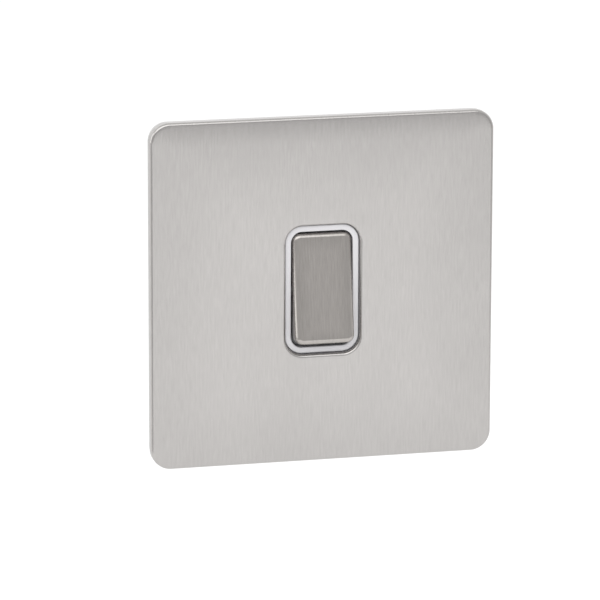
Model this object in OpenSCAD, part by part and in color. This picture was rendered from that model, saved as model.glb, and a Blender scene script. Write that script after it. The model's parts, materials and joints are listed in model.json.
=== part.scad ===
// Single-gang two-way rocker wall switch, flush screwless style.
// Origin: centre of the wall plane. +X right, +Z up, the front faces -Y, the back box is at +Y.

/* [Front plate] */
// Width and height of the square front plate
plate_size = 86; // [84:0.5:88]
// How far the plate's face stands off the wall
plate_front = 5.1; // [4.8:0.1:6]
// Radius of the plate's corners
plate_corner_r = 5; // [4:0.5:6]
// Radius rolled on the plate's front edge
plate_edge_r = 0.7; // [0.5:0.1:0.9]
// Thickness of the plate's metal
sheet_t = 1.0; // [0.8:0.1:1.1]
// Gap between the plate's skirt and the wall
skirt_gap = 2.6; // [2.6:0.1:2.8]
// Width of the opening in the plate
opening_w = 18.8; // [18.8:0.05:19.2]
// Height of the opening in the plate
opening_h = 32.2; // [32.15:0.05:32.6]
// Radius of the opening's corners
opening_r = 4.4; // [4:0.1:5]
// Radius on the opening's front edge
lip_r = 0.7; // [0.2:0.1:0.8]
// Thickness of the insulating liner inside the plate
liner_t = 0.5; // [0.4:0.1:0.6]

/* [Rear frame] */
// Width and height of the frame that shows behind the plate
frame_size = 85.2; // [85:0.1:86]
// Distance from the wall to the front of the frame's rim
frame_front = 2.5; // [2.2:0.1:2.5]
// Distance from the wall to the front of the steel yoke
yoke_front = 1.6; // [1.4:0.1:1.6]
// Thickness of the foam gasket
gasket_t = 0.4; // [0.3:0.1:0.5]
// Width and height of the steel yoke
yoke_size = 79; // [78:0.5:79]

/* [Surround] */
// Outer width of the white surround
surround_w = 18.5; // [18.2:0.05:18.55]
// Outer height of the white surround
surround_h = 31.85; // [31.6:0.05:31.9]
// Width of the surround's ring, seen from the front
surround_ring = 1.5; // [1.35:0.05:1.5]
// Distance from the wall to the surround's face
surround_front = 4; // [3.8:0.1:4]

/* [Rocker] */
// Width of the rocker
rocker_w = 14.9; // [14.3:0.1:14.9]
// Height of the rocker, along its face
rocker_h = 27.3; // [26.5:0.1:27.3]
// Radius of the rocker's corners
rocker_r = 2; // [1.5:0.1:2.5]
// Depth of the hollow in the rocker's face
rocker_dish = 0.45; // [0.3:0.05:1]
// Tilt of the rocker to either side of its middle
rocker_tilt = 8.75; // [8:0.25:9]
// Distance from the wall to the rocker's pivot
pivot_front = 2.2; // [2:0.1:2.3]

/* [Mechanism] */
// Tilt of the moving contact to either side of its middle
blade_tilt = 8.5; // [8:0.5:9]
// Distance from the rocker's pivot to the centre of the plunger's round tip
plunger_reach = 10.5; // [10:0.1:11]
// Distance from the moving contact's middle to each silver contact
contact_z = 10.5; // [10:0.1:11]
// Width of the mechanism's case
housing_w = 43; // [42:0.5:44]
// Height of the mechanism's case
housing_h = 40; // [39:0.5:41]

/* [Fixings] */
// Distance between the two fixing screws
fixing_spacing = 60.3; // [60.3:0.1:60.3]
// How far the fixing screws reach behind the wall plane
fixing_reach = 22; // [15:1:35]
// Radius of the wire hole in each terminal
wire_r = 2.0; // [1.8:0.1:2.1]
// Distance from the wall plane back to the wire holes
wire_depth = 8.5; // [8:0.1:9]

/* [Hidden] */
$fn = 48;
eps = 0.01;

// Radial gap of a running fit
run_gap = 0.06;
// Gap left between contacts and bearings so that nothing overlaps as it moves
touch_gap = 0.05;

// Depths along Y, front to back
face_y = -plate_front;
sheet_back_y = face_y + sheet_t;
skirt_y = -skirt_gap;
liner_back_y = sheet_back_y + liner_t;
frame_front_y = -frame_front;
yoke_front_y = -yoke_front;
yoke_back_y = -gasket_t;
surround_y = -surround_front;
pivot_y = -pivot_front;

// Rear frame
frame_corner_r = plate_corner_r - (plate_size - frame_size) / 2;
frame_bore = yoke_size + 0.2;
frame_bore_r = 3.1;
wall_outer = plate_size - 2 * sheet_t - 0.4;
wall_inner = wall_outer - 2;
wall_front_y = liner_back_y + 0.1;
gasket_outer = frame_size - 0.8;
gasket_inner = 72;
clip_x = 20;
clip_w = 8;
clip_t = 0.4;
clip_z = plate_size / 2 - sheet_t - touch_gap;

// Surround and case
shield_y = 0.65;
shield_slot_w = 5.6;
shield_slot_h = 7.2;
cavity_w = surround_w - 2 * surround_ring;
cavity_h = surround_h - 2 * surround_ring;
surround_r = 4.2;
cavity_r = surround_r - surround_ring;
skirt_w = 22.2;
skirt_h = 36.2;
skirt_r = 4;
skirt_back_y = 1.6;
flange_t = 0.9;
pin_r = 1.2;
pin_end_x = surround_w / 2 - 0.1;
rivet_x = 19.5;
rivet_r = 1.2;
rivet_head_r = 2;
rivet_head_t = 0.6;

// Rocker, drawn level about its pivot and then tilted to rest with its top pressed in
rocker_face_y = -3.9;
dish_r = (pow(rocker_h / 2, 2) + pow(rocker_dish, 2)) / (2 * rocker_dish);
dish_runout = 0.04;
cap_back_y = -0.45;
cap_wall = 0.8;
cap_pocket_y = -2.4;
carrier_back_y = 0.6;
guide_r = 2.6;
guide_end_y = 5.5;
guide_bore_y = -1.2;
plunger_r = 1.5;
plunger_tail_y = 2.8;
spring_r = 1.1;
spring_wire_r = 0.2;
spring_turns = 6;

// Moving contact: the blade rocks on a bead held in the common contact's groove
blade_w = 4.4;
blade_t = 0.7;
blade_front_y = pivot_y + plunger_reach + plunger_r + touch_gap;
blade_back_y = blade_front_y + blade_t;
bead_r = 0.8;
bead_y = blade_back_y + 0.65;
blade_half_h = 12.2;
hump_y = blade_front_y - 0.85;
hump_half_h = 3.4;
// The plunger's tip follows an arc in the blade, so the blade's groove is an arc round it
blade_ratio = blade_tilt / rocker_tilt;
bead_to_tip = bead_y - pivot_y - plunger_reach;
tip_travel = plunger_reach - bead_to_tip * blade_ratio;
tip_lift = plunger_reach * (0.5 + blade_ratio) - bead_to_tip * pow(blade_ratio, 2) / 2;
groove_r = pow(tip_travel, 2) / (2 * tip_lift) + plunger_r + touch_gap;
groove_y = blade_front_y - groove_r;

// Silver contacts
dome_h = 0.9;
dome_r = 1.6;
dome_y = blade_back_y + dome_h - dome_r - bead_y;
fixed_tip_z = contact_z * cos(blade_tilt) - dome_y * sin(blade_tilt);
fixed_tip_y = bead_y + dome_y * cos(blade_tilt) + contact_z * sin(blade_tilt) + dome_r + touch_gap;
fixed_tip_r = 1.6;
strip_y = fixed_tip_y + 0.74;
strip_t = 0.8;
strip_back_y = strip_y + strip_t;
strip_w = 4;
strip_pad = 7.2;
cradle_front_y = bead_y + 0.1;
cradle_half_w = 2.5;
cradle_half_h = 2.2;

// Case
case_half_w = 8.5;
case_half_h = 15;
cover_back_y = strip_back_y + 2.1;

// Terminals
block = 8;
terminal_x = 14;
terminal_z = 13;
wire_y = wire_depth;
block_front_y = wire_y - wire_r - 1.2;
clamp_r = 1.95;
clamp_bore_r = 2.0;
clamp_length = 5.5;
clamp_tip_y = wire_y + wire_r + 0.2;
entry_r = wire_r + 0.3;
earth_z = -28;
earth_h = 6;
earth_wire_y = 3.0;
earth_back_y = 7.2;
earth_rivet_x = 6.5;

// Fixing screws
fixing_x = fixing_spacing / 2;
fixing_thread_r = 1.75;
fixing_shank_r = 1.45;
fixing_head_r = 3.3;
fixing_head_t = 1.8;
slot_half_w = 1.9;
slot_length = 7;

// Rectangle with round corners
module round_rect(w, h, r) {
    square([w - 2 * r, h], center = true);
    square([w, h - 2 * r], center = true);
    for (sx = [-1, 1], sz = [-1, 1])
        translate([sx * (w / 2 - r), sz * (h / 2 - r)])
            circle(r);
}

// Pushes an outline, drawn as seen from the front, from depth y0 back to depth y1
module slab(y0, y1) {
    translate([0, y1, 0])
        rotate([90, 0, 0])
            linear_extrude(y1 - y0)
                children();
}

// Box between two corners
module box(low, high) {
    translate(low)
        cube(high - low);
}

// Round bar or hole along Y from depth y0 to y1
module rod_y(x, z, r, y0, y1) {
    translate([x, y0, z])
        rotate([-90, 0, 0])
            cylinder(h = y1 - y0, r = r);
}

// Round bar or hole along Z
module rod_z(x, y, r, z0, z1) {
    translate([x, y, z0])
        cylinder(h = z1 - z0, r = r);
}

// Round bar or hole along X
module rod_x(y, z, r, x0, x1) {
    translate([x0, y, z])
        rotate([0, 90, 0])
            cylinder(h = x1 - x0, r = r);
}

// Sweeps a profile round a rectangle with round corners of radius r.
// In the profile, x is the distance from a corner's centre and y is the depth.
module sweep_round(w, h, r) {
    half_w = w / 2 - r;
    half_h = h / 2 - r;
    for (side = [0:3]) {
        along = side % 2 == 0 ? half_h : half_w;
        out = side % 2 == 0 ? half_w : half_h;
        rotate([0, side * 90, 0]) {
            translate([out, 0, -along])
                linear_extrude(2 * along)
                    children();
            translate([out, 0, along])
                rotate([90, 0, 0])
                    rotate_extrude(angle = 90)
                        mirror([0, 1, 0])
                            children();
        }
    }
}

// Quarter of a round edge: a disc of radius r centred at (x, y), kept on one side
module quarter(x, y, r, sx, sy) {
    intersection() {
        translate([x, y])
            circle(r);
        translate([x + (sx < 0 ? -r : 0), y + (sy < 0 ? -r : 0)])
            square(r);
    }
}

// Tilts the rocker's pieces about the pivot into the rest position
module rocker_at_rest() {
    translate([0, pivot_y, 0])
        rotate([-rocker_tilt, 0, 0])
            children();
}

// Tilts the blade's pieces about the bead into the rest position
module blade_at_rest() {
    translate([0, bead_y, 0])
        rotate([blade_tilt, 0, 0])
            translate([0, -bead_y, 0])
                children();
}

// Section of the plate's rolled outer edge and skirt
module plate_edge_section() {
    bend_x = plate_corner_r - plate_edge_r;
    bend_y = face_y + plate_edge_r;
    wall_x = plate_corner_r - sheet_t;
    translate([0, face_y])
        square([bend_x, sheet_t]);
    quarter(bend_x, bend_y, plate_edge_r, 1, -1);
    translate([wall_x, bend_y])
        square([sheet_t, skirt_y - bend_y]);
}

// Section of the round edge and wall of the opening
module plate_lip_section() {
    bend_x = opening_r + lip_r;
    bend_y = face_y + lip_r;
    quarter(bend_x, bend_y, lip_r, -1, -1);
    translate([opening_r, bend_y])
        square([lip_r, sheet_back_y - bend_y]);
}

module front_plate() {
    flat_size = plate_size - 2 * plate_corner_r;
    color([0.78, 0.775, 0.765]) {
        slab(face_y, sheet_back_y)
            difference() {
                square(flat_size, center = true);
                round_rect(opening_w + 2 * lip_r, opening_h + 2 * lip_r, opening_r + lip_r);
            }
        sweep_round(plate_size, plate_size, plate_corner_r)
            plate_edge_section();
        sweep_round(opening_w, opening_h, opening_r)
            plate_lip_section();
    }
}

module plate_liner() {
    edge_gap = 0.5;
    color([0.9, 0.9, 0.88])
        slab(sheet_back_y, liner_back_y)
            difference() {
                round_rect(wall_outer, wall_outer, plate_corner_r - sheet_t - 0.2);
                round_rect(opening_w + 2 * edge_gap, opening_h + 2 * edge_gap, opening_r + edge_gap);
            }
}

module base_frame() {
    wall_r = plate_corner_r - sheet_t - 0.2;
    lug = 5;
    color([0.72, 0.72, 0.7])
        difference() {
            union() {
                slab(frame_front_y, yoke_back_y)
                    difference() {
                        round_rect(frame_size, frame_size, frame_corner_r);
                        round_rect(frame_bore, frame_bore, frame_bore_r);
                    }
                slab(wall_front_y, frame_front_y)
                    difference() {
                        round_rect(wall_outer, wall_outer, wall_r);
                        round_rect(wall_inner, wall_inner, wall_r - 1);
                    }
                // Corner lugs that hold the yoke's corners down
                slab(yoke_front_y - 0.8, yoke_front_y)
                    difference() {
                        round_rect(wall_inner + 0.5, wall_inner + 0.5, wall_r - 0.75);
                        square([wall_inner + 1, wall_inner - 2 * lug], center = true);
                        square([wall_inner - 2 * lug, wall_inner + 1], center = true);
                    }
            }
            // Gaps in the locating wall for the clips
            for (x = [-clip_x, clip_x], s = [-1, 1])
                translate([x, wall_front_y, s * wall_outer / 2])
                    cube([clip_w + 1, 2 * (frame_front_y - wall_front_y), 4], center = true);
            // Notch for prising the plate off
            translate([0, frame_front_y, -frame_size / 2])
                cube([8, 1, 1.6], center = true);
        }
}

module wall_gasket() {
    color([0.8, 0.8, 0.8])
        slab(yoke_back_y, 0)
            difference() {
                round_rect(gasket_outer, gasket_outer, frame_corner_r - 0.4);
                round_rect(gasket_inner, gasket_inner, 3);
            }
}

// Outline of a horizontal slot
module slot(length, half_w) {
    square([length - 2 * half_w, 2 * half_w], center = true);
    for (s = [-1, 1])
        translate([s * (length / 2 - half_w), 0])
            circle(half_w);
}

module mounting_yoke() {
    color([0.75, 0.76, 0.78])
        slab(yoke_front_y, yoke_back_y)
            difference() {
                round_rect(yoke_size, yoke_size, 3);
                round_rect(skirt_w + 0.2, skirt_h + 0.2, skirt_r);
                for (s = [-1, 1])
                    translate([s * fixing_x, 0])
                        slot(slot_length, slot_half_w);
                for (s = [-1, 1])
                    translate([s * rivet_x, 0])
                        circle(rivet_r + touch_gap);
                translate([earth_rivet_x, earth_z])
                    circle(rivet_r + touch_gap);
            }
}

// Side view of one clip that faces up
module clip_section() {
    bead = 0.5;
    foot_z = 35;
    riser_z = yoke_size / 2 - 0.6;
    shelf_y = frame_front_y - clip_t;
    translate([yoke_front_y - clip_t, foot_z])
        square([clip_t, riser_z + clip_t - foot_z]);
    translate([shelf_y, riser_z])
        square([yoke_front_y - shelf_y, clip_t]);
    translate([shelf_y, riser_z])
        square([clip_t, clip_z - bead - riser_z]);
    translate([frame_front_y - bead - touch_gap, clip_z - bead])
        circle(bead);
}

module retaining_clips() {
    color([0.8, 0.81, 0.83])
        for (x = [-clip_x, clip_x], flip = [0, 1])
            mirror([0, 0, flip])
                translate([x - clip_w / 2, 0, 0])
                    rotate([90, 0, 90])
                        linear_extrude(clip_w)
                            clip_section();
}

module rocker_surround() {
    nose_edge_r = 0.35;
    bearing_x = surround_w / 2 + 0.1;
    color([0.96, 0.96, 0.96])
        difference() {
            union() {
                slab(surround_y + nose_edge_r, skirt_back_y)
                    round_rect(surround_w, surround_h, surround_r);
                slab(surround_y, surround_y + nose_edge_r)
                    round_rect(surround_w - 2 * nose_edge_r, surround_h - 2 * nose_edge_r,
                        surround_r - nose_edge_r);
                sweep_round(surround_w, surround_h, surround_r)
                    quarter(surround_r - nose_edge_r, surround_y + nose_edge_r, nose_edge_r, 1, -1);
                slab(yoke_front_y - flange_t, yoke_front_y)
                    round_rect(skirt_w + 2.8, skirt_h + 2.8, skirt_r + 1.4);
                slab(yoke_front_y, skirt_back_y)
                    round_rect(skirt_w, skirt_h, skirt_r);
            }
            slab(surround_y - eps, shield_y)
                round_rect(cavity_w, cavity_h, cavity_r);
            // The floor keeps dust out; the rocker's guide swings in its slot
            slab(shield_y - eps, skirt_back_y + eps)
                round_rect(shield_slot_w, shield_slot_h, 0.6);
            // Bearing for the rocker's pins
            rod_x(pivot_y, 0, pin_r + run_gap, -bearing_x, bearing_x);
        }
}

// Pocket that a terminal block and the end of its strip drop into, from behind
module terminal_pocket(sx, sz) {
    gap = 0.1;
    side = block + 2 * gap;
    translate([sx * terminal_x, 0, sz * terminal_z])
        translate([-side / 2, block_front_y - gap, -side / 2])
            cube([side, strip_back_y - block_front_y + gap + eps, side]);
    // Wire entry, open towards the nearer end of the case
    mirror([0, 0, sz < 0 ? 1 : 0])
        rod_z(sx * terminal_x, wire_y, entry_r, terminal_z, housing_h / 2 + 2);
}

module switch_housing() {
    color([0.93, 0.93, 0.91])
        difference() {
            union() {
                slab(yoke_back_y, strip_back_y)
                    round_rect(housing_w, housing_h, 2.5);
                // Raised guards round the wire entries
                for (p = [[-1, 1], [1, 1], [-1, -1]])
                    box([p[0] * terminal_x - 5, wire_y - 4, p[1] > 0 ? housing_h / 2 - 1 : -housing_h / 2 - 1],
                        [p[0] * terminal_x + 5, wire_y + 4, p[1] > 0 ? housing_h / 2 + 1 : -housing_h / 2 + 1]);
            }
            slab(yoke_back_y - eps, skirt_back_y)
                round_rect(skirt_w + 0.2, skirt_h + 0.2, skirt_r);
            box([-case_half_w, skirt_back_y - eps, -case_half_h],
                [case_half_w, strip_back_y + eps, case_half_h]);
            for (p = [[-1, 1], [1, 1], [-1, -1]])
                terminal_pocket(p[0], p[1]);
            // Channels for the strips
            slab(strip_y - eps, strip_back_y + eps)
                strip_channels(0.1);
            for (s = [-1, 1])
                rod_y(s * rivet_x, 0, rivet_r + touch_gap, yoke_back_y - eps, strip_back_y + eps);
            // Hollows that lighten the moulding below and beside the mechanism
            box([10.5, 2.4, -17.5], [18.5, strip_back_y + eps, -4]);
        }
}

// Channels of all three strips, wider than the strips by gap
module strip_channels(gap) {
    for (s = [-1, 1])
        translate([-terminal_x, s * fixed_tip_z - strip_w / 2 - gap])
            square([terminal_x, strip_w + 2 * gap]);
    translate([0, -cradle_half_h - gap])
        square([terminal_x + strip_w / 2 + gap, 2 * (cradle_half_h + gap)]);
    translate([terminal_x - strip_w / 2 - gap, 0])
        square([strip_w + 2 * gap, terminal_z]);
}

module housing_cover() {
    color([0.9, 0.9, 0.88])
        slab(strip_back_y, cover_back_y)
            difference() {
                round_rect(housing_w, housing_h, 2.5);
                for (p = [[-1, 1], [1, 1], [-1, -1]])
                    translate([p[0] * terminal_x, p[1] * terminal_z])
                        circle(entry_r);
                for (s = [-1, 1])
                    translate([s * rivet_x, 0])
                        circle(rivet_r + touch_gap);
            }
}

// Rivet along Y through a stack from y0 to y1, with a head at each end
module rivet(x, z, y0, y1) {
    rod_y(x, z, rivet_r, y0 - eps, y1 + eps);
    rod_y(x, z, rivet_head_r, y0 - rivet_head_t, y0);
    rod_y(x, z, rivet_head_r, y1, y1 + rivet_head_t);
}

module housing_rivets() {
    color([0.8, 0.8, 0.82])
        for (s = [-1, 1])
            rivet(s * rivet_x, 0, yoke_front_y, cover_back_y);
}

module earth_rivet() {
    color([0.8, 0.8, 0.82])
        rivet(earth_rivet_x, earth_z, yoke_front_y, yoke_back_y + 1.2);
}

module common_contact() {
    color([0.85, 0.7, 0.35])
        difference() {
            union() {
                slab(strip_y, strip_back_y) {
                    translate([-cradle_half_w, -cradle_half_h])
                        square([terminal_x + strip_w / 2 + cradle_half_w, 2 * cradle_half_h]);
                    translate([terminal_x - strip_w / 2, 0])
                        square([strip_w, terminal_z]);
                    translate([terminal_x, terminal_z])
                        square(strip_pad, center = true);
                }
                box([-cradle_half_w, cradle_front_y, -cradle_half_h],
                    [cradle_half_w, strip_y + eps, cradle_half_h]);
            }
            rod_x(bead_y, 0, bead_r + touch_gap, -3, 3);
            rod_y(terminal_x, terminal_z, clamp_bore_r + touch_gap, strip_y - 1, strip_back_y + 1);
        }
}

// Brass strip from a terminal block to its silver contact
module fixed_contact(sz) {
    difference() {
        slab(strip_y, strip_back_y) {
            translate([-terminal_x, sz * terminal_z])
                square(strip_pad, center = true);
            translate([-terminal_x, sz * fixed_tip_z - strip_w / 2])
                square([terminal_x + 2.5, strip_w]);
        }
        rod_y(-terminal_x, sz * terminal_z, clamp_bore_r + touch_gap, strip_y - 1, strip_back_y + 1);
    }
}

module fixed_contact_l1() {
    color([0.85, 0.7, 0.35])
        fixed_contact(1);
}

module fixed_contact_l2() {
    color([0.85, 0.7, 0.35])
        fixed_contact(-1);
}

module fixed_contact_tips() {
    color([0.85, 0.86, 0.88])
        for (s = [-1, 1])
            rod_y(0, s * fixed_tip_z, fixed_tip_r, fixed_tip_y, strip_y);
}

// Brass block with a wire hole along Z and a clamp screw hole along Y
module terminal_block(sx, sz) {
    x = sx * terminal_x;
    z = sz * terminal_z;
    half = block / 2;
    color([0.86, 0.7, 0.36])
        difference() {
            box([x - half, block_front_y, z - half], [x + half, strip_y, z + half]);
            rod_z(x, wire_y, wire_r, z - half - 1, z + half + 1);
            rod_y(x, z, clamp_bore_r, wire_y, strip_y + 1);
        }
}

module terminal_common() {
    terminal_block(1, 1);
}

module terminal_l1() {
    terminal_block(-1, 1);
}

module terminal_l2() {
    terminal_block(-1, -1);
}

module earth_terminal() {
    half = block / 2;
    color([0.86, 0.7, 0.36])
        difference() {
            union() {
                box([terminal_x - half, yoke_back_y, earth_z - earth_h / 2],
                    [terminal_x + half, earth_back_y, earth_z + earth_h / 2]);
                box([earth_rivet_x - 3, yoke_back_y, earth_z - earth_h / 2],
                    [terminal_x, yoke_back_y + 1.2, earth_z + earth_h / 2]);
            }
            rod_z(terminal_x, earth_wire_y, wire_r, earth_z - earth_h, earth_z + earth_h);
            rod_y(terminal_x, earth_z, clamp_bore_r, earth_wire_y, earth_back_y + 1);
            rod_y(earth_rivet_x, earth_z, rivet_r + touch_gap, yoke_back_y - 1, yoke_back_y + 2);
        }
}

// Headless clamp screw along Y, backed out so that a wire goes in
module clamp_screw(x, z, tip_y, length) {
    drive_w = 0.8;
    drive_d = 1.1;
    color([0.82, 0.82, 0.84])
        difference() {
            rod_y(x, z, clamp_r, tip_y, tip_y + length);
            box([x - 3, tip_y + length - drive_d, z - drive_w / 2],
                [x + 3, tip_y + length + 1, z + drive_w / 2]);
        }
}

module screw_common() {
    clamp_screw(terminal_x, terminal_z, clamp_tip_y, clamp_length);
}

module screw_l1() {
    clamp_screw(-terminal_x, terminal_z, clamp_tip_y, clamp_length);
}

module screw_l2() {
    clamp_screw(-terminal_x, -terminal_z, clamp_tip_y, clamp_length);
}

module screw_earth() {
    clamp_screw(terminal_x, earth_z, earth_wire_y + wire_r + 0.2, clamp_length);
}

module fixing_screws() {
    shank_end_y = yoke_back_y + 0.8;
    head_y = yoke_front_y - fixing_head_t;
    color([0.82, 0.82, 0.84])
        for (s = [-1, 1])
            difference() {
                union() {
                    rod_y(s * fixing_x, 0, fixing_head_r, head_y, yoke_front_y);
                    rod_y(s * fixing_x, 0, fixing_shank_r, yoke_front_y - eps, shank_end_y + eps);
                    rod_y(s * fixing_x, 0, fixing_thread_r, shank_end_y, fixing_reach);
                }
                translate([s * fixing_x, head_y, 0])
                    cube([8, 1.8, 0.9], center = true);
            }
}

module rocker_cap() {
    pocket_w = rocker_w - 2 * cap_wall;
    pocket_h = rocker_h - 2 * cap_wall;
    color([0.62, 0.6, 0.585])
        rocker_at_rest()
            difference() {
                slab(rocker_face_y, cap_back_y)
                    round_rect(rocker_w, rocker_h, rocker_r);
                slab(cap_pocket_y, cap_back_y + eps)
                    round_rect(pocket_w, pocket_h, rocker_r - cap_wall);
                // Hollow face, which runs out just behind the top and bottom edges
                translate([0, rocker_face_y + rocker_dish + dish_runout - dish_r, 0])
                    rotate([0, 90, 0])
                        cylinder(h = 2 * rocker_w, r = dish_r, center = true, $fn = 360);
                rod_x(0, 0, pin_r, -rocker_w, rocker_w);
            }
}

module rocker_carrier() {
    inner_w = rocker_w - 2 * cap_wall;
    inner_h = rocker_h - 2 * cap_wall;
    color([0.35, 0.35, 0.36])
        rocker_at_rest()
            difference() {
                union() {
                    slab(cap_pocket_y, carrier_back_y)
                        round_rect(inner_w, inner_h, rocker_r - cap_wall);
                    // Flange that closes the gap round the cap against dust
                    slab(cap_back_y, carrier_back_y)
                        round_rect(rocker_w + 0.1, rocker_h + 0.3, rocker_r + 0.05);
                    rod_x(0, 0, pin_r, -pin_end_x, pin_end_x);
                    rod_y(0, 0, guide_r, carrier_back_y - eps, guide_end_y);
                }
                rod_y(0, 0, plunger_r + run_gap, guide_bore_y, guide_end_y + 1);
            }
}

module plunger() {
    color([0.93, 0.9, 0.82])
        rocker_at_rest() {
            rod_y(0, 0, plunger_r, plunger_tail_y, plunger_reach);
            translate([0, plunger_reach, 0])
                sphere(plunger_r);
        }
}

// Points round the wire at each step along the spring
function spring_points(sides, steps, y0, pitch) = [
    for (i = [0:steps], j = [0:sides - 1])
        let (turn = 360 * spring_turns * i / steps, a = 360 * j / sides,
            r = spring_r + spring_wire_r * cos(a))
        [r * cos(turn), y0 + pitch * turn / 360 + spring_wire_r * sin(a), r * sin(turn)]
];

// Skin between neighbouring rings, closed at both ends
function spring_faces(sides, steps) = concat(
    [[for (j = [0:sides - 1]) j]],
    [for (i = [0:steps - 1], j = [0:sides - 1])
        let (a = i * sides + j, b = i * sides + (j + 1) % sides)
        [a, a + sides, b + sides, b]],
    [[for (j = [sides - 1:-1:0]) steps * sides + j]]
);

module plunger_spring() {
    sides = 8;
    steps = spring_turns * 16;
    start_y = guide_bore_y + spring_wire_r;
    pitch = (plunger_tail_y - spring_wire_r - start_y) / spring_turns;
    color([0.75, 0.76, 0.78])
        rocker_at_rest()
            polyhedron(points = spring_points(sides, steps, start_y, pitch),
                faces = spring_faces(sides, steps));
}

// Side view of the blade: strip, bead, neck and the humps beside the plunger's groove
module blade_section() {
    neck_half = 0.45;
    difference() {
        union() {
            translate([blade_front_y, -blade_half_h])
                square([blade_t, 2 * blade_half_h]);
            translate([hump_y, -hump_half_h])
                square([blade_front_y - hump_y + eps, 2 * hump_half_h]);
            translate([blade_back_y - eps, -neck_half])
                square([bead_y - blade_back_y, 2 * neck_half]);
            translate([bead_y, 0])
                circle(bead_r);
        }
        translate([groove_y, 0])
            circle(groove_r, $fn = 96);
    }
}

module moving_contact() {
    color([0.85, 0.7, 0.35])
        blade_at_rest()
            translate([-blade_w / 2, 0, 0])
                rotate([90, 0, 90])
                    linear_extrude(blade_w)
                        blade_section();
}

module moving_contact_tips() {
    color([0.85, 0.86, 0.88])
        blade_at_rest()
            for (s = [-1, 1])
                intersection() {
                    translate([0, bead_y + dome_y, s * contact_z])
                        sphere(dome_r);
                    box([-3, blade_back_y, s * contact_z - 3], [3, blade_back_y + 2, s * contact_z + 3]);
                }
}

front_plate();
plate_liner();
base_frame();
wall_gasket();
mounting_yoke();
retaining_clips();
rocker_surround();
switch_housing();
housing_cover();
housing_rivets();
common_contact();
fixed_contact_l1();
fixed_contact_l2();
fixed_contact_tips();
terminal_common();
terminal_l1();
terminal_l2();
earth_terminal();
earth_rivet();
fixing_screws();
rocker_cap();
rocker_carrier();
plunger();
plunger_spring();
moving_contact();
moving_contact_tips();
screw_common();
screw_l1();
screw_l2();
screw_earth();
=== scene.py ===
"""Looks of the rocker wall switch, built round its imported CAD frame.

Metres; +X right, +Z up, the front faces -Y, and the wall plane is Y = 0.
"""
import json
import math

import bmesh
import bpy
from mathutils import Matrix, Vector


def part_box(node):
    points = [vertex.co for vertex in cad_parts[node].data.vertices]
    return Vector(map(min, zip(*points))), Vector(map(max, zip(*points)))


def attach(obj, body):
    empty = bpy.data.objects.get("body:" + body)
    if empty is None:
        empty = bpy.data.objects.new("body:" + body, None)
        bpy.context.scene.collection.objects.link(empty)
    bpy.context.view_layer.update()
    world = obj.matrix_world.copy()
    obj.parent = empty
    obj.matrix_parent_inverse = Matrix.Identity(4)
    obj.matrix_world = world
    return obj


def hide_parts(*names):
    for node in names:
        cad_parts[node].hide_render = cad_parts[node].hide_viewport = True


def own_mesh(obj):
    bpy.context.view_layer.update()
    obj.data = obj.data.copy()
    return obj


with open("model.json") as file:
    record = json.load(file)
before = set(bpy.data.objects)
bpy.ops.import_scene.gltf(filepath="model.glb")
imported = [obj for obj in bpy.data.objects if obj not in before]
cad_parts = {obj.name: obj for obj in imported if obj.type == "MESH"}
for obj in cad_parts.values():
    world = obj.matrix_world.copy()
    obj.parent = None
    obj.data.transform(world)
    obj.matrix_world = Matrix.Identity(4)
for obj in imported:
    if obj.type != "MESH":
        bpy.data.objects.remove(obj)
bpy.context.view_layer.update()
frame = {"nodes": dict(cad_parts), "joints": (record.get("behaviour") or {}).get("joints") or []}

MM = 0.001

JOINTS = {joint["name"]: joint for joint in frame["joints"]}
PIVOT = Vector(JOINTS["rocker_tilt"]["pos_m"])
TILT = math.radians(JOINTS["rocker_tilt"]["range_deg"][1] / 2)
ROCKER_AT_REST = Matrix.Translation(PIVOT) @ Matrix.Rotation(-TILT, 4, "X")

# Front plate. Its rolled edge is PLATE_ROLL wide and PLATE_EDGE deep.
PLATE_LOW, PLATE_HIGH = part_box("front_plate")
PLATE_SIZE = PLATE_HIGH.x - PLATE_LOW.x
PLATE_FRONT_Y = PLATE_LOW.y
PLATE_BACK_Y = PLATE_HIGH.y
SHEET = 1.0 * MM
PLATE_CORNER = 5.0 * MM
PLATE_LEAST_CORNER = 0.9 * MM
PLATE_EDGE = 0.7 * MM
PLATE_ROLL = 0.8 * MM
OPENING = (18.8 * MM, 32.2 * MM)
OPENING_R = 4.4 * MM
LIP_R = 0.7 * MM

# White surround: a ring in front, a flange and a skirt behind, and a floor with a slot.
SURROUND_LOW, SURROUND_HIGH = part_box("rocker_surround")
SURROUND = (18.5 * MM, 31.85 * MM)
SURROUND_R = 4.2 * MM
RING = 1.5 * MM
FLANGE_R = 5.4 * MM
FLANGE_T = 0.9 * MM
SKIRT = (22.2 * MM, 36.2 * MM)
SKIRT_R = 4.0 * MM
SHIELD_Y = 0.65 * MM
SHIELD_SLOT = (5.6 * MM, 7.2 * MM)
SHIELD_SLOT_R = 0.6 * MM
PIN_BORE_R = 1.26 * MM

# Rocker cap, before it is tilted. Its rolled edge is ROCKER_ROLL wide and ROCKER_EDGE deep.
ROCKER = (14.9 * MM, 27.3 * MM)
ROCKER_R = 2.0 * MM
ROCKER_EDGE = 1.1 * MM
ROCKER_ROLL = 1.3 * MM
ROCKER_FACE_Y = -3.9 * MM
ROCKER_DISH = 0.45 * MM
CAP_WALL = 0.8 * MM
CAP_BACK_Y = -0.45 * MM
CAP_POCKET_Y = -2.4 * MM

# Coil spring, before it is tilted with the rocker.
SPRING_R = 1.1 * MM
SPRING_WIRE_R = 0.2 * MM
SPRING_TURNS = 6
SPRING_START_Y = -1.2 * MM
SPRING_END_Y = 2.8 * MM

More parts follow.
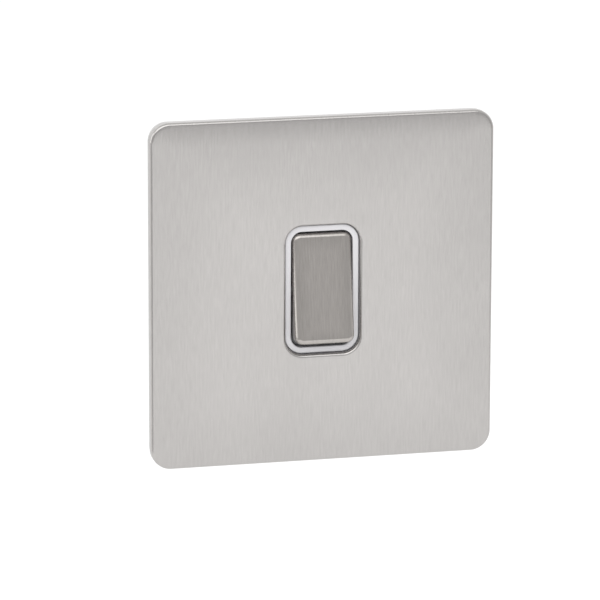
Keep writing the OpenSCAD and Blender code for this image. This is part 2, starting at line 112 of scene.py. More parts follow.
# Screws. A slot is cut from SLOT_CLEARANCE outside the screw's end.
HEAD_R = 3.3 * MM
HEAD_T = 1.8 * MM
FIXING_SHANK_R = 1.45 * MM
FIXING_SHANK_LENGTH = 2.0 * MM
FIXING_CORE_R = 1.4 * MM
FIXING_CREST_R = 1.75 * MM
FIXING_PITCH = 0.6 * MM
FIXING_SLOT_DEPTH = 0.9 * MM
FIXING_SLOT_HALF = 0.45 * MM
CLAMP_PITCH = 0.7 * MM
CLAMP_SLOT_DEPTH = 1.1 * MM
CLAMP_SLOT_HALF = 0.4 * MM
SLOT_CLEARANCE = 0.5 * MM

# Studio, in metres. In front of FLOOR_FRONT the floor is only as wide as a table.
FLOOR_LEVEL = -0.25
FLOOR_HALF_WIDTH = 3
FLOOR_BACK = 6
FLOOR_FRONT = -0.2
FLOOR_GLOW = 0.17
TABLE_LEFT = -0.42
TABLE_RIGHT = 0.85
TABLE_FRONT = -1.64

# World strengths: the room in front of the switch, the rest of it, and what is seen.
ROOM_FRONT = 0.7
ROOM_REST = 1.15
BACKDROP = 1.05

# Camera: place in metres, turns in radians, lens and sensor in millimetres.
CAMERA_PLACE = (-0.264166, -1.03062, 0.244829)
CAMERA_YAW = 0.24679
CAMERA_PITCH = 0.2295
CAMERA_ROLL = 0.0023
CAMERA_LENS = 267.3
CAMERA_SENSOR = 36


# ---------------------------------------------------------------- mesh tools


def rounded_loop(width, height, radius, depth, arc_steps, side_steps=1):
    """Points round a rectangle with round corners, anticlockwise from the front."""
    half_w = width / 2 - radius
    half_h = height / 2 - radius
    points = []
    for corner in range(4):
        centre_x = half_w if corner in (0, 3) else -half_w
        centre_z = half_h if corner in (0, 1) else -half_h
        for step in range(arc_steps + 1):
            angle = math.pi / 2 * (corner + step / arc_steps)
            x = centre_x + radius * math.cos(angle)
            z = centre_z + radius * math.sin(angle)
            points.append(Vector((x, depth, z)))
        # The two upright sides get points between the corners, to follow a hollow.
        if corner in (1, 3):
            side = width / 2 if corner == 3 else -width / 2
            sign = 1 if corner == 3 else -1
            for step in range(1, side_steps):
                z = sign * half_h * (2 * step / side_steps - 1)
                points.append(Vector((side, depth, z)))
    return points


def inset_loop(size, radius, inset, depth, arc_steps, side_steps=1):
    """A rounded_loop drawn inside an outline, or outside it where inset is negative."""
    width = size[0] - 2 * inset
    height = size[1] - 2 * inset
    return rounded_loop(width, height, radius - inset, depth, arc_steps, side_steps)


def quarter_round(steps):
    """Pairs along a quarter circle: the first goes from 0 to 1, the second from 1 to 0."""
    for step in range(steps + 1):
        angle = math.pi / 2 * step / steps
        yield 1 - math.cos(angle), 1 - math.sin(angle)


def add_loops(mesh, loops, closed=False):
    """Skins a row of loops with quads, and joins the last to the first where closed."""
    rings = [[mesh.verts.new(point) for point in loop] for loop in loops]
    pairs = list(zip(rings, rings[1:]))
    if closed:
        pairs.append((rings[-1], rings[0]))
    for ring, other in pairs:
        count = len(ring)
        for i in range(count):
            j = (i + 1) % count
            mesh.faces.new((ring[i], ring[j], other[j], other[i]))
    return rings


def add_solid(mesh, loops):
    """Skins a row of loops and closes its two ends with flat faces."""
    rings = add_loops(mesh, loops)
    mesh.faces.new(rings[0])
    mesh.faces.new(rings[-1])


def fill_strips(mesh, ring, arc_steps, side_steps):
    """Fills a rounded_loop with level strips from its left side to its right."""
    count = len(ring)
    mirror = 2 * arc_steps + 1
    for step in range(2 * arc_steps + side_steps):
        i = arc_steps - step
        corners = (i, i - 1, mirror - i + 1, mirror - i)
        mesh.faces.new([ring[k % count] for k in corners])


def add_turned(mesh, rows, sides):
    """Solid about the local Z axis, from rows of (radius, height).

    A radius is a number, or a function of the share of a turn round the axis.
    """
    loops = []
    for radius, height in rows:
        loop = []
        for i in range(sides):
            angle = 2 * math.pi * i / sides
            r = radius(i / sides) if callable(radius) else radius
            loop.append((r * math.cos(angle), r * math.sin(angle), height))
        loops.append(loop)
    add_solid(mesh, loops)


def map_grain(mesh):
    """UV map in metres. U runs across the brush grain and V along it, on every side."""
    grain = mesh.loops.layers.uv.new("Grain")
    for face in mesh.faces:
        x, y, z = (abs(part) for part in face.normal)
        for corner in face.loops:
            place_at = corner.vert.co
            across = place_at.y if x > max(y, z) else place_at.x
            along = place_at.y if z > max(x, y) else place_at.z
            corner[grain].uv = (across, along)


def make_object(name, mesh, sharp_angle=35.0):
    """Turns a bmesh into a smooth-shaded object with sharp creases kept."""
    bmesh.ops.recalc_face_normals(mesh, faces=mesh.faces)
    for face in mesh.faces:
        face.smooth = True
    for edge in mesh.edges:
        edge.smooth = edge.calc_face_angle(0.0) < math.radians(sharp_angle)
    map_grain(mesh)
    data = bpy.data.meshes.new(name)
    mesh.to_mesh(data)
    mesh.free()
    piece = bpy.data.objects.new(name, data)
    bpy.context.scene.collection.objects.link(piece)
    return piece


def weight_normals(piece):
    """Keeps large flat faces flat where they meet a round edge."""
    modifier = piece.modifiers.new("Flat faces", "WEIGHTED_NORMAL")
    modifier.keep_sharp = True
    modifier.weight = 60


def cut(piece, cutter):
    """Cuts one closed mesh out of another and drops the cutter."""
    modifier = piece.modifiers.new("Cut", "BOOLEAN")
    modifier.operation = "DIFFERENCE"
    modifier.solver = "EXACT"
    modifier.object = cutter
    bpy.context.view_layer.update()
    graph = bpy.context.evaluated_depsgraph_get()
    piece.data = bpy.data.meshes.new_from_object(piece.evaluated_get(graph))
    piece.modifiers.clear()
    bpy.data.objects.remove(cutter)


def place(piece, body, nodes, material):
    """Says what the piece rides on, what it stands for and what it is made of."""
    piece.data.materials.clear()
    piece.data.materials.append(material)
    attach(piece, body)
    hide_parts(*nodes)


# ---------------------------------------------------------------- materials

WHITE = (1.0, 1.0, 1.0)
STEEL = (0.483, 0.467, 0.456)
ROCKER_STEEL = (0.495, 0.468, 0.445)

# Noise scales, in cells per metre along X, Y and Z.
STREAKS = (2600, 0, 210)
HAIR = (7000, 0, 380)
CLOUDS = (55, 0, 40)
FLOW = (90, 90, 55)
PATCHES = (900, 900, 900)
CELLS = (2600, 2600, 2600)
ROLLED = (700, 700, 5200)
TURNED = (3000, 3000, 3000)

# Depths of surface relief, and the width of an edge that is worn bright.
HAIR_DEPTH = 0.001 * MM
GRAIN_DEPTH = 0.006 * MM
CELL_DEPTH = 0.08 * MM
WORN_WIDTH = 0.25 * MM


def new_material(name, color, metallic, roughness):
    """A principled material, and the nodes that later steps add to."""
    material = bpy.data.materials.new(name)
    material.use_nodes = True
    nodes = material.node_tree.nodes
    nodes.clear()
    output = nodes.new("ShaderNodeOutputMaterial")
    shader = nodes.new("ShaderNodeBsdfPrincipled")
    shader.inputs["Base Color"].default_value = (*color, 1)
    shader.inputs["Metallic"].default_value = metallic
    shader.inputs["Roughness"].default_value = roughness
    links = material.node_tree.links
    links.new(shader.outputs["BSDF"], output.inputs["Surface"])
    return material, shader


def noise(material, scale, detail, roughness):
    """Noise in the object's own space, with one scale per axis, in cells per metre."""
    nodes = material.node_tree.nodes
    links = material.node_tree.links
    place_in = nodes.new("ShaderNodeTexCoord")
    stretch = nodes.new("ShaderNodeMapping")
    stretch.inputs["Scale"].default_value = scale
    texture = nodes.new("ShaderNodeTexNoise")
    texture.inputs["Scale"].default_value = 1.0
    texture.inputs["Detail"].default_value = detail
    texture.inputs["Roughness"].default_value = roughness
    links.new(place_in.outputs["Object"], stretch.inputs["Vector"])
    links.new(stretch.outputs["Vector"], texture.inputs["Vector"])
    return texture.outputs["Fac"]


def ramp(material, value, low, high, start=0.3, end=0.7):
    """Maps a value from start..end to low..high."""
    nodes = material.node_tree.nodes
    node = nodes.new("ShaderNodeMapRange")
    node.inputs["From Min"].default_value = start
    node.inputs["From Max"].default_value = end
    node.inputs["To Min"].default_value = low
    node.inputs["To Max"].default_value = high
    material.node_tree.links.new(value, node.inputs["Value"])
    return node.outputs["Result"]


def blend_colors(material, factor, dark, light, mode="MIX"):
    """Goes from one colour to another, or to their product, as the factor rises.

    A colour is a tuple or a node's output.
    """
    node = material.node_tree.nodes.new("ShaderNodeMix")
    node.data_type = "RGBA"
    node.blend_type = mode
    material.node_tree.links.new(factor, node.inputs["Factor"])
    for name, value in (("A", dark), ("B", light)):
        sockets = [s for s in node.inputs if s.name == name and s.type == "RGBA"]
        if hasattr(value, "default_value"):
            material.node_tree.links.new(value, sockets[0])
        else:
            sockets[0].default_value = (*value, 1)
    return [s for s in node.outputs if s.type == "RGBA"][0]


def set_color(material, shader, output):
    """Takes the base colour from a node's output."""
    material.node_tree.links.new(output, shader.inputs["Base Color"])


def set_roughness(material, shader, output):
    """Takes the roughness from a node's output."""
    material.node_tree.links.new(output, shader.inputs["Roughness"])


def set_bump(material, shader, height, distance):
    """Raises the surface by up to distance, in metres, where height is 1."""
    node = material.node_tree.nodes.new("ShaderNodeBump")
    node.inputs["Strength"].default_value = 1.0
    node.inputs["Distance"].default_value = distance
    material.node_tree.links.new(height, node.inputs["Height"])
    material.node_tree.links.new(node.outputs["Normal"], shader.inputs["Normal"])


def shade(color, factor):
    """A lighter or darker shade of a colour."""
    return tuple(channel * factor for channel in color)


def border_mask(material, size, width):
    """Rises from 0 to 1 over a border of the given width, inside the piece's outline."""
    nodes = material.node_tree.nodes
    links = material.node_tree.links
    place_in = nodes.new("ShaderNodeTexCoord")
    axes = nodes.new("ShaderNodeSeparateXYZ")
    links.new(place_in.outputs["Object"], axes.inputs["Vector"])
    nearest = nodes.new("ShaderNodeMath")
    nearest.operation = "MAXIMUM"
    for slot, (axis, extent) in enumerate(zip("XZ", size)):
        half = extent / 2
        distance = nodes.new("ShaderNodeMath")
        distance.operation = "ABSOLUTE"
        links.new(axes.outputs[axis], distance.inputs[0])
        rise = ramp(material, distance.outputs["Value"], 0, 1, half - width, half)
        rise.node.interpolation_type = "SMOOTHSTEP"
        links.new(rise, nearest.inputs[slot])
    return nearest.outputs["Value"]


def brushed(name, color, roughness, variation, size, border, border_shade):
    """Metal with fine vertical brush grain, and painted shade that darkens a border round it."""
    material, shader = new_material(name, color, 1.0, roughness)
    streaks = noise(material, STREAKS, 4.0, 0.65)
    hair = noise(material, HAIR, 2.0, 0.5)
    dark = shade(color, 1 - variation)
    light = shade(color, 1 + variation)
    level = ramp(material, streaks, 0, 1, 0.36, 0.64)
    grained = blend_colors(material, level, dark, light)
    clouds = ramp(material, noise(material, CLOUDS, 2.0, 0.5), 0, 1)
    clouded = blend_colors(material, clouds, grained, shade(WHITE, 0.965), "MULTIPLY")
    # Painted shade: the colour is darkened in a border round the piece's outline.
    outline = border_mask(material, size, border)
    border_shaded = blend_colors(material, outline, clouded, shade(WHITE, border_shade), "MULTIPLY")
    set_color(material, shader, border_shaded)
    rough = ramp(material, hair, roughness * 0.9, roughness * 1.1)
    set_roughness(material, shader, rough)
    set_bump(material, shader, hair, HAIR_DEPTH)
    shader.inputs["Anisotropic"].default_value = 0.9
    tangent = material.node_tree.nodes.new("ShaderNodeTangent")
    tangent.direction_type = "UV_MAP"
    tangent.uv_map = "Grain"
    links = material.node_tree.links
    links.new(tangent.outputs["Tangent"], shader.inputs["Tangent"])
    return material


def moulded(name, color, roughness, texture_depth, texture_size):
    """Moulded plastic with a fine surface texture and faint flow variation."""
    material, shader = new_material(name, color, 0.0, roughness)
    per_metre = 1 / texture_size
    skin = noise(material, (per_metre, per_metre, per_metre), 3.0, 0.55)
    flow = noise(material, FLOW, 3.0, 0.5)
    mixed = blend_colors(
        material, ramp(material, flow, 0, 1), shade(color, 0.975), shade(color, 1.015)
    )
    set_color(material, shader, mixed)
    rough = ramp(material, skin, roughness * 0.9, roughness * 1.12)
    set_roughness(material, shader, rough)
    set_bump(material, shader, skin, texture_depth)
    shader.inputs["IOR"].default_value = 1.5
    return material


def edge_mask(material, radius):
    """Rises from 0 on flat faces to 1 on the edges that handling wears bright."""
    nodes = material.node_tree.nodes
    links = material.node_tree.links
    rounded = nodes.new("ShaderNodeBevel")
    rounded.samples = 4
    rounded.inputs["Radius"].default_value = radius
    surface = nodes.new("ShaderNodeNewGeometry")
    product = nodes.new("ShaderNodeVectorMath")
    product.operation = "DOT_PRODUCT"
    links.new(rounded.outputs["Normal"], product.inputs[0])
    links.new(surface.outputs["Normal"], product.inputs[1])
    return ramp(material, product.outputs["Value"], 1.0, 0.0, 0.86, 0.99)


def plated(name, color, roughness, grain_scale, tarnish):
    """Sheet or turned metal with rolled grain, dull patches and brighter edges."""
    material, shader = new_material(name, color, 1.0, roughness)
    grain = noise(material, grain_scale, 3.0, 0.6)
    patches = noise(material, PATCHES, 4.0, 0.55)
    dull = blend_colors(material, ramp(material, patches, 0, 1), tarnish, color)
    edge = edge_mask(material, WORN_WIDTH)
    worn = blend_colors(material, edge, dull, shade(color, 1.12))
    set_color(material, shader, worn)
    rough = ramp(material, patches, roughness * 1.25, roughness * 0.85)
    set_roughness(material, shader, rough)
    set_bump(material, shader, grain, GRAIN_DEPTH)
    return material


def foam(name, color):
    """Matt closed-cell foam."""
    material, shader = new_material(name, color, 0.0, 0.9)
    cells = noise(material, CELLS, 4.0, 0.7)
    mixed = blend_colors(
        material, ramp(material, cells, 0, 1), shade(color, 0.8), shade(color, 1.1)
    )
    set_color(material, shader, mixed)
    set_bump(material, shader, cells, CELL_DEPTH)
    return material


PLATE_METAL = brushed(
    "Brushed plate",
    STEEL,
    roughness=0.2,
    variation=0.045,
    size=(PLATE_SIZE, PLATE_SIZE),
    border=24 * MM,
    # Painted shade: the plate's colour falls to this share in its border.
    border_shade=0.93,
)
ROCKER_METAL = brushed(
    "Brushed rocker",
    ROCKER_STEEL,
    roughness=0.22,
    variation=0.06,
    size=ROCKER,
    border=5 * MM,
    # Painted shade: the rocker's colour falls to this share in its border.
    border_shade=0.87,
)
WHITE_GLOSS = moulded("White gloss", (0.7, 0.69, 0.708), 0.16, 0.001 * MM, 1.2 * MM)
GREY_FRAME = moulded("Grey frame", (0.5, 0.5, 0.49), 0.42, 0.01 * MM, 0.25 * MM)
LINER = moulded("Liner", (0.74, 0.74, 0.71), 0.5, 0.008 * MM, 0.4 * MM)
CASE_WHITE = moulded("White moulding", (0.62, 0.62, 0.59), 0.36, 0.012 * MM, 0.3 * MM)
# Painted shade: the rocker body is dark grey so that the gaps round the rocker read dark, as
# shadow.
ROCKER_BODY_SHADE_GREY = moulded("Rocker body", (0.11, 0.11, 0.112), 0.4, 0.006 * MM, 0.4 * MM)
NYLON = moulded("Nylon", (0.72, 0.68, 0.56), 0.4, 0.006 * MM, 0.3 * MM)
FOAM = foam("Foam", (0.2, 0.2, 0.2))
ZINC = plated("Zinc plate", (0.5, 0.51, 0.53), 0.36, ROLLED, (0.43, 0.435, 0.44))
SPRING = plated("Spring steel", (0.5, 0.5, 0.51), 0.3, TURNED, (0.38, 0.37, 0.36))
BRASS = plated("Brass", (0.78, 0.56, 0.25), 0.3, ROLLED, (0.58, 0.4, 0.18))
SILVER = plated("Silver", (0.8, 0.79, 0.77), 0.28, TURNED, (0.62, 0.6, 0.58))

# ---------------------------------------------------------------- front plate


def plate_profile():
    """Loops round the plate: opening, face, rolled edge, skirt and inside.

    The face is flat apart from two faint falls, to the opening and to the outer edge.
    """
    arc_steps = 20
    lip_fall = 0.015 * MM
    lip_reach = 0.7 * MM
    edge_fall = 0.045 * MM
    edge_reach = 6.0 * MM
    back_y = PLATE_FRONT_Y + SHEET
    inner_bend = 0.4 * MM
    chamfer = 0.12 * MM
    loops = []

    def opening(outset, depth):
        loops.append(inset_loop(OPENING, OPENING_R, -outset, depth, arc_steps))

    def edge(inset, depth):
        size = PLATE_SIZE - 2 * inset
        radius = max(PLATE_CORNER - inset, PLATE_LEAST_CORNER)
        loops.append(rounded_loop(size, size, radius, depth, arc_steps))

    opening(chamfer, back_y)
    opening(0, back_y - chamfer)
    for rise, fall in quarter_round(8):
        opening(LIP_R * rise, PLATE_FRONT_Y + lip_fall + (LIP_R - lip_fall) * fall)
    for step in range(1, 9):
        along = step / 8
        depth = PLATE_FRONT_Y + lip_fall * (1 - along) ** 2
        opening(LIP_R + lip_reach * along, depth)
    for step in range(10):
        along = step / 10
        inset = PLATE_ROLL + edge_reach * (1 - along)
        edge(inset, PLATE_FRONT_Y + edge_fall * along**2)
    for rise, fall in quarter_round(14):
        depth = PLATE_FRONT_Y + edge_fall + (PLATE_EDGE - edge_fall) * rise
        edge(PLATE_ROLL * fall, depth)
    edge(0, PLATE_BACK_Y - chamfer)
    edge(chamfer, PLATE_BACK_Y)
    edge(SHEET - chamfer, PLATE_BACK_Y)
    edge(SHEET, PLATE_BACK_Y - chamfer)
    for rise, fall in quarter_round(5):
        edge(SHEET + inner_bend * rise, back_y + inner_bend * fall)
    return loops


def build_plate():
    """Brushed plate with a turned-in opening, a rolled edge and a skirt."""
    mesh = bmesh.new()
    add_loops(mesh, plate_profile(), closed=True)
    plate = make_object("Plate", mesh)
    weight_normals(plate)
    place(plate, "front_plate", ["front_plate"], PLATE_METAL)


# ---------------------------------------------------------------- surround


def surround_profile():
    """Loops round the white surround: nose, outer wall, flange, skirt and cavity."""
    arc_steps = 16
    nose_r = 0.26 * MM
    inner_r = 0.3 * MM
    front_y = SURROUND_LOW.y
    back_y = SURROUND_HIGH.y
    yoke_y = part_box("mounting_yoke")[0].y
    flange_y = yoke_y - FLANGE_T
    flange_w = SURROUND_HIGH.x - SURROUND_LOW.x
    flange_h = SURROUND_HIGH.z - SURROUND_LOW.z
    soft = 0.15 * MM
    loops = []

    def nose(inset, depth):
        loops.append(inset_loop(SURROUND, SURROUND_R, inset, depth, arc_steps))

    def flange(inset, depth):
        size = (flange_w, flange_h)
        loops.append(inset_loop(size, FLANGE_R, inset, depth, arc_steps))

    def slot(inset, depth):
        loops.append(inset_loop(SHIELD_SLOT, SHIELD_SLOT_R, inset, depth, arc_steps))

    def skirt(inset, depth):
        loops.append(inset_loop(SKIRT, SKIRT_R, inset, depth, arc_steps))

    nose(RING, SHIELD_Y)
    for rise, fall in quarter_round(6):
        nose(RING - inner_r * rise, front_y + inner_r * fall)
    for rise, fall in quarter_round(8):
        nose(nose_r * fall, front_y + nose_r * rise)
    nose(0, flange_y - soft)
    nose(-soft, flange_y)
    flange(soft, flange_y)
    flange(0, flange_y + soft)
    flange(0, yoke_y - soft)
    flange(soft, yoke_y)
    skirt(-soft, yoke_y)
    skirt(0, yoke_y + soft)
    skirt(0, back_y - soft)
    skirt(soft, back_y)
    slot(-soft, back_y)
    slot(0, back_y - soft)
    slot(0, SHIELD_Y + soft)
    slot(-soft, SHIELD_Y)
    return loops


def pin_cutter():
    """Bar along X that cuts the bearings for the rocker's pins."""
    mesh = bmesh.new()
    reach = SURROUND[0] / 2 + 0.05 * MM
    add_turned(mesh, [(PIN_BORE_R, -reach), (PIN_BORE_R, reach)], 48)
    bmesh.ops.rotate(mesh, matrix=Matrix.Rotation(math.pi / 2, 3, "Y"), verts=mesh.verts)
    bmesh.ops.translate(mesh, vec=PIVOT, verts=mesh.verts)
    return make_object("Pin cutter", mesh)


def build_surround():
    """Glossy surround in the plate's opening, with bearings for the rocker's pins."""
    mesh = bmesh.new()
    add_loops(mesh, surround_profile(), closed=True)
    surround = make_object("Surround", mesh)
    cut(surround, pin_cutter())
    weight_normals(surround)
    place(surround, "switch_base", ["rocker_surround"], WHITE_GLOSS)


# ---------------------------------------------------------------- rocker


def hollow(z):
    """How far the rocker's hollow face sits behind its top and bottom edges."""
    return ROCKER_DISH * (1 - (2 * z / ROCKER[1]) ** 2)


def build_rocker_cap():
    """Brushed cap with a hollow face, a rolled edge and a pocket behind."""
    arc_steps = 10
    side_steps = 40
    soft = 0.12 * MM
    loops = []

    def level(inset, depth, follow):
        loop = inset_loop(ROCKER, ROCKER_R, inset, depth, arc_steps, side_steps)
        for point in loop:
            point.y += hollow(point.z) * follow
        loops.append(loop)

    for rise, fall in quarter_round(12):
        level(ROCKER_ROLL * fall, ROCKER_FACE_Y + ROCKER_EDGE * rise, 1)
    level(0, CAP_BACK_Y - soft, 0)
    level(soft, CAP_BACK_Y, 0)
    level(CAP_WALL, CAP_BACK_Y, 0)
    level(CAP_WALL, CAP_POCKET_Y, 0)
    mesh = bmesh.new()
    rings = add_loops(mesh, loops)
    fill_strips(mesh, rings[0], arc_steps, side_steps)
    mesh.faces.new(rings[-1])
    bmesh.ops.transform(mesh, matrix=ROCKER_AT_REST, verts=mesh.verts)
    cap = make_object("Rocker_cap", mesh)
    place(cap, "rocker", ["rocker_cap"], ROCKER_METAL)


# ---------------------------------------------------------------- spring


def add_tube(mesh, path, axis, radius, sides):
    """Closed round tube along a path that winds about an axis."""
    loops = []
    for i, point in enumerate(path):
        ahead = path[min(i + 1, len(path) - 1)] - path[max(i - 1, 0)]
        side = ahead.cross(axis).normalized()
        upright = side.cross(ahead).normalized()
        loop = []
        for step in range(sides):
            angle = 2 * math.pi * step / sides
            offset = side * math.cos(angle) + upright * math.sin(angle)
            loop.append(point + offset * radius)
        loops.append(loop)
    add_solid(mesh, loops)


def build_plunger_spring():
    """Coil spring in the rocker, built at the rocker's rest tilt."""
    steps = 32 * SPRING_TURNS
    first_y = SPRING_START_Y + SPRING_WIRE_R
    last_y = SPRING_END_Y - SPRING_WIRE_R
    path = []
    for step in range(steps + 1):
        along = step / steps
        angle = 2 * math.pi * SPRING_TURNS * along
        x = SPRING_R * math.cos(angle)
        z = SPRING_R * math.sin(angle)
        path.append(Vector((x, first_y + (last_y - first_y) * along, z)))
    mesh = bmesh.new()
    add_tube(mesh, path, Vector((0, 1, 0)), SPRING_WIRE_R, 12)
    bmesh.ops.transform(mesh, matrix=ROCKER_AT_REST, verts=mesh.verts)
    spring = make_object("Coil_spring", mesh, sharp_angle=60)
    place(spring, "rocker", ["plunger_spring"], SPRING)
    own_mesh(spring)


# ---------------------------------------------------------------- screws


def thread_radius(height, limit, core_r, crest_r, pitch):
    """Radius of a helical thread at one height, as a function of the share of a turn."""

    def radius(turn):
        phase = (height / pitch - turn) % 1.0
        rise = min(1.0, 1.3 * (1 - abs(2 * phase - 1)))
        return min(core_r + (crest_r - core_r) * rise, limit)

    return radius


def add_screw(mesh, plain_rows, start, end, core_r, crest_r, pitch):
    """Screw along local +Z: plain (radius, height) rows first, then a helical thread."""
    steps = int((end - start) / pitch * 8)
    end_r = core_r * 0.85
    rows = list(plain_rows)
    for step in range(steps + 1):
        height = start + (end - start) * step / steps
        run_out = min(height - start, end - height) / pitch
        limit = end_r + (crest_r - end_r) * min(1, run_out + 0.15)
        rows.append((thread_radius(height, limit, core_r, crest_r, pitch), height))
    add_turned(mesh, rows, 32)


def along_y(mesh, x, y, z):
    """Turns a local +Z shape to run along +Y from (x, y, z)."""
    move = Matrix.Translation((x, y, z)) @ Matrix.Rotation(-math.pi / 2, 4, "X")
    bmesh.ops.transform(mesh, matrix=move, verts=mesh.verts)


def cut_slot(screw, start, end, half_length, half_width):
    """Cuts a level screwdriver slot between two points of the screw's axis."""
    half = Vector((half_length, 0, half_width))
    low = Vector(start) - half
    high = Vector(end) + half
    mesh = bmesh.new()
    bmesh.ops.create_cube(mesh, size=1.0)
    bmesh.ops.scale(mesh, vec=high - low, verts=mesh.verts)
    bmesh.ops.translate(mesh, vec=(high + low) / 2, verts=mesh.verts)
    cut(screw, make_object("Slot cutter", mesh))


def soften(piece, width):
    """Rounds the sharp edges that a cut leaves."""
    bevel = piece.modifiers.new("Round edges", "BEVEL")
    bevel.width = width
    bevel.segments = 2
    bevel.limit_method = "ANGLE"
    bevel.angle_limit = math.radians(60)
    weight_normals(piece)


def build_fixing_screw(name, sign):
    """Pan-head machine screw through the yoke's slot."""
    low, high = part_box("fixing_screws")
    shank_end = FIXING_SHANK_LENGTH + HEAD_T
    length = high.y - low.y
    dome = [(0.3 * MM, 0), (1.6 * MM, 0.05 * MM), (2.4 * MM, 0.18 * MM)]
    dome += [(2.95 * MM, 0.42 * MM), (3.2 * MM, 0.75 * MM), (HEAD_R, 1.1 * MM)]
    rim = [(HEAD_R, HEAD_T - 0.1 * MM), (HEAD_R - 0.1 * MM, HEAD_T)]
    shank = [(FIXING_SHANK_R, HEAD_T), (FIXING_SHANK_R, shank_end - 0.2 * MM)]
    thread = (FIXING_CORE_R, FIXING_CREST_R, FIXING_PITCH)
    mesh = bmesh.new()
    add_screw(mesh, dome + rim + shank, shank_end, length, *thread)
    x = sign * (high.x - HEAD_R)
    along_y(mesh, x, low.y, 0)
    screw = make_object(name, mesh, sharp_angle=40)
    start = (x, low.y - SLOT_CLEARANCE, 0)
    end = (x, low.y + FIXING_SLOT_DEPTH, 0)
    cut_slot(screw, start, end, 4 * MM, FIXING_SLOT_HALF)
    soften(screw, 0.06 * MM)
    place(screw, "switch_base", ["fixing_screws"], ZINC)


def build_clamp_screw(node):
    """Headless screw that clamps a wire, slotted at its rear end."""
    low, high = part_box(node)
    x = (low.x + high.x) / 2
    z = (low.z + high.z) / 2
    length = high.y - low.y
    crest_r = (high.x - low.x) / 2
    tip = [(crest_r * 0.35, 0), (crest_r * 0.68, 0.05 * MM), (crest_r * 0.74, 0.3 * MM)]
    thread = (crest_r * 0.82, crest_r, CLAMP_PITCH)
    mesh = bmesh.new()
    add_screw(mesh, tip, 0.4 * MM, length, *thread)
    along_y(mesh, x, low.y, z)
    screw = make_object(node.replace("screw", "Clamp_screw"), mesh, sharp_angle=40)
    start = (x, high.y - CLAMP_SLOT_DEPTH, z)
    end = (x, high.y + SLOT_CLEARANCE, z)
    cut_slot(screw, start, end, 3 * MM, CLAMP_SLOT_HALF)
    soften(screw, 0.05 * MM)
    place(screw, node, [node], ZINC)


def build_screws():
    """Two screws into the back box and four wire clamps."""
    build_fixing_screw("Fixing_screw_left", -1)
    build_fixing_screw("Fixing_screw_right", 1)
    for node in ("screw_common", "screw_l1", "screw_l2", "screw_earth"):
        build_clamp_screw(node)


# ---------------------------------------------------------------- CAD pieces


def dress(node, material, edge):
    """Gives a kept CAD node rounded edges, flat faces and its material."""
    piece = frame["nodes"][node]
    piece.data.materials.clear()
    piece.data.materials.append(material)
    weld = piece.modifiers.new("Weld", "WELD")
    weld.merge_threshold = 0.002 * MM
    flat = piece.modifiers.new("Merge flats", "DECIMATE")
    flat.decimate_type = "DISSOLVE"
    flat.angle_limit = math.radians(1.0)
    bevel = piece.modifiers.new("Round edges", "BEVEL")
    bevel.width = edge
    bevel.segments = 3
    bevel.limit_method = "ANGLE"
    bevel.angle_limit = math.radians(35)
    bevel.use_clamp_overlap = True
    closed = piece.modifiers.new("Close corners", "WELD")
    closed.merge_threshold = 0.0005 * MM
    for face in piece.data.polygons:
        face.use_smooth = True
    weight_normals(piece)


def dress_cad_pieces():
    """Dresses every node that no new mesh stands for."""
    dress("plate_liner", LINER, 0.1 * MM)
    dress("base_frame", GREY_FRAME, 0.2 * MM)
    dress("wall_gasket", FOAM, 0.1 * MM)
    dress("mounting_yoke", ZINC, 0.12 * MM)
    dress("retaining_clips", SPRING, 0.06 * MM)
    dress("switch_housing", CASE_WHITE, 0.25 * MM)
    dress("housing_cover", CASE_WHITE, 0.25 * MM)
    dress("housing_rivets", ZINC, 0.15 * MM)
    dress("earth_rivet", ZINC, 0.15 * MM)
    for node in ("common_contact", "fixed_contact_l1", "fixed_contact_l2"):
        dress(node, BRASS, 0.08 * MM)
    for node in ("terminal_common", "terminal_l1", "terminal_l2", "earth_terminal"):
        dress(node, BRASS, 0.15 * MM)
    for node in ("fixed_contact_tips", "moving_contact_tips"):
        dress(node, SILVER, 0.08 * MM)
    dress("moving_contact", BRASS, 0.06 * MM)
    dress("rocker_carrier", ROCKER_BODY_SHADE_GREY, 0.1 * MM)
    dress("plunger", NYLON, 0.1 * MM)


# ---------------------------------------------------------------- studio


def build_world():
    """White behind the switch, and a room in reflections that is greyer in front."""
    world = bpy.data.worlds.new("Studio")
    bpy.context.scene.world = world
    world.use_nodes = True
    nodes = world.node_tree.nodes
    links = world.node_tree.links
    nodes.clear()
    output = nodes.new("ShaderNodeOutputWorld")
    room = nodes.new("ShaderNodeBackground")
    direction = nodes.new("ShaderNodeTexCoord")
    axes = nodes.new("ShaderNodeSeparateXYZ")
    strength = nodes.new("ShaderNodeMapRange")
    strength.interpolation_type = "SMOOTHSTEP"
    strength.inputs["From Min"].default_value = -0.75
    strength.inputs["From Max"].default_value = 0.15
    strength.inputs["To Min"].default_value = ROOM_FRONT
    strength.inputs["To Max"].default_value = ROOM_REST
    links.new(direction.outputs["Generated"], axes.inputs["Vector"])
    links.new(axes.outputs["Y"], strength.inputs["Value"])
    links.new(strength.outputs["Result"], room.inputs["Strength"])
    room.inputs["Color"].default_value = (*WHITE, 1)
    backdrop = nodes.new("ShaderNodeBackground")
    backdrop.inputs["Color"].default_value = (*WHITE, 1)
    backdrop.inputs["Strength"].default_value = BACKDROP
    ray = nodes.new("ShaderNodeLightPath")
    mix = nodes.new("ShaderNodeMixShader")
    links.new(ray.outputs["Is Camera Ray"], mix.inputs["Fac"])
    links.new(room.outputs["Background"], mix.inputs[1])
    links.new(backdrop.outputs["Background"], mix.inputs[2])
    links.new(mix.outputs["Shader"], output.inputs["Surface"])


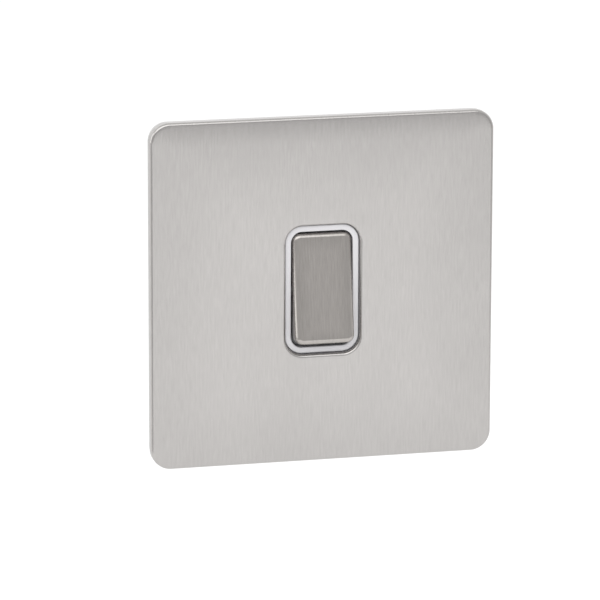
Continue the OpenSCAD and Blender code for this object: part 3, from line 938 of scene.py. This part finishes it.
def build_floor():
    """Plain pale floor below the switch, whose table-wide front the metal mirrors."""
    mesh = bmesh.new()
    outline = [
        (-FLOOR_HALF_WIDTH, FLOOR_BACK),
        (-FLOOR_HALF_WIDTH, FLOOR_FRONT),
        (TABLE_LEFT, FLOOR_FRONT),
        (TABLE_LEFT, TABLE_FRONT),
        (TABLE_RIGHT, TABLE_FRONT),
        (TABLE_RIGHT, FLOOR_FRONT),
        (FLOOR_HALF_WIDTH, FLOOR_FRONT),
        (FLOOR_HALF_WIDTH, FLOOR_BACK),
    ]
    mesh.faces.new([mesh.verts.new((x, y, FLOOR_LEVEL)) for x, y in outline])
    floor = make_object("Floor", mesh)
    material, shader = new_material("Floor", (0.85, 0.85, 0.85), 0.0, 0.9)
    shader.inputs["Emission Color"].default_value = (*WHITE, 1)
    shader.inputs["Emission Strength"].default_value = FLOOR_GLOW
    shader.inputs["Specular IOR Level"].default_value = 0.0
    floor.data.materials.append(material)


def softbox(name, position, width, height, power):
    """Rectangular light that faces the switch and isn't seen itself."""
    data = bpy.data.lights.new(name, "AREA")
    data.shape = "RECTANGLE"
    data.size = width
    data.size_y = height
    data.energy = power
    light = bpy.data.objects.new(name, data)
    light.location = position
    aim = -Vector(position)
    light.rotation_euler = aim.to_track_quat("-Z", "Y").to_euler()
    light.visible_camera = False
    bpy.context.scene.collection.objects.link(light)


def build_lights():
    """A weak light from the left and a broad one from above the front."""
    softbox("Left light", (-1.4, -0.3, 0.35), width=1.0, height=1.0, power=3.2)
    softbox("Front light", (-0.4, -1.8, 1.35), width=2.4, height=1.5, power=17)


def build_camera():
    """Long lens in front of the switch, up and to the left, and not quite level."""
    cos_yaw = math.cos(CAMERA_YAW)
    sin_yaw = math.sin(CAMERA_YAW)
    cos_pitch = math.cos(CAMERA_PITCH)
    sin_pitch = math.sin(CAMERA_PITCH)
    forward = Vector((sin_yaw * cos_pitch, cos_yaw * cos_pitch, -sin_pitch))
    level = Vector((cos_yaw, -sin_yaw, 0))
    upright = level.cross(forward)
    right = math.cos(CAMERA_ROLL) * level + math.sin(CAMERA_ROLL) * upright
    up = math.cos(CAMERA_ROLL) * upright - math.sin(CAMERA_ROLL) * level
    rotation = Matrix((right, up, -forward)).transposed().to_4x4()
    data = bpy.data.cameras.new("Camera")
    data.lens = CAMERA_LENS
    data.sensor_width = CAMERA_SENSOR
    camera = bpy.data.objects.new("Camera", data)
    camera.matrix_world = Matrix.Translation(CAMERA_PLACE) @ rotation
    bpy.context.scene.collection.objects.link(camera)
    bpy.context.scene.camera = camera


bpy.context.scene.view_settings.view_transform = "Standard"
build_plate()
build_surround()
build_rocker_cap()
build_plunger_spring()
build_screws()
dress_cad_pieces()
build_world()
build_floor()
build_lights()
build_camera()
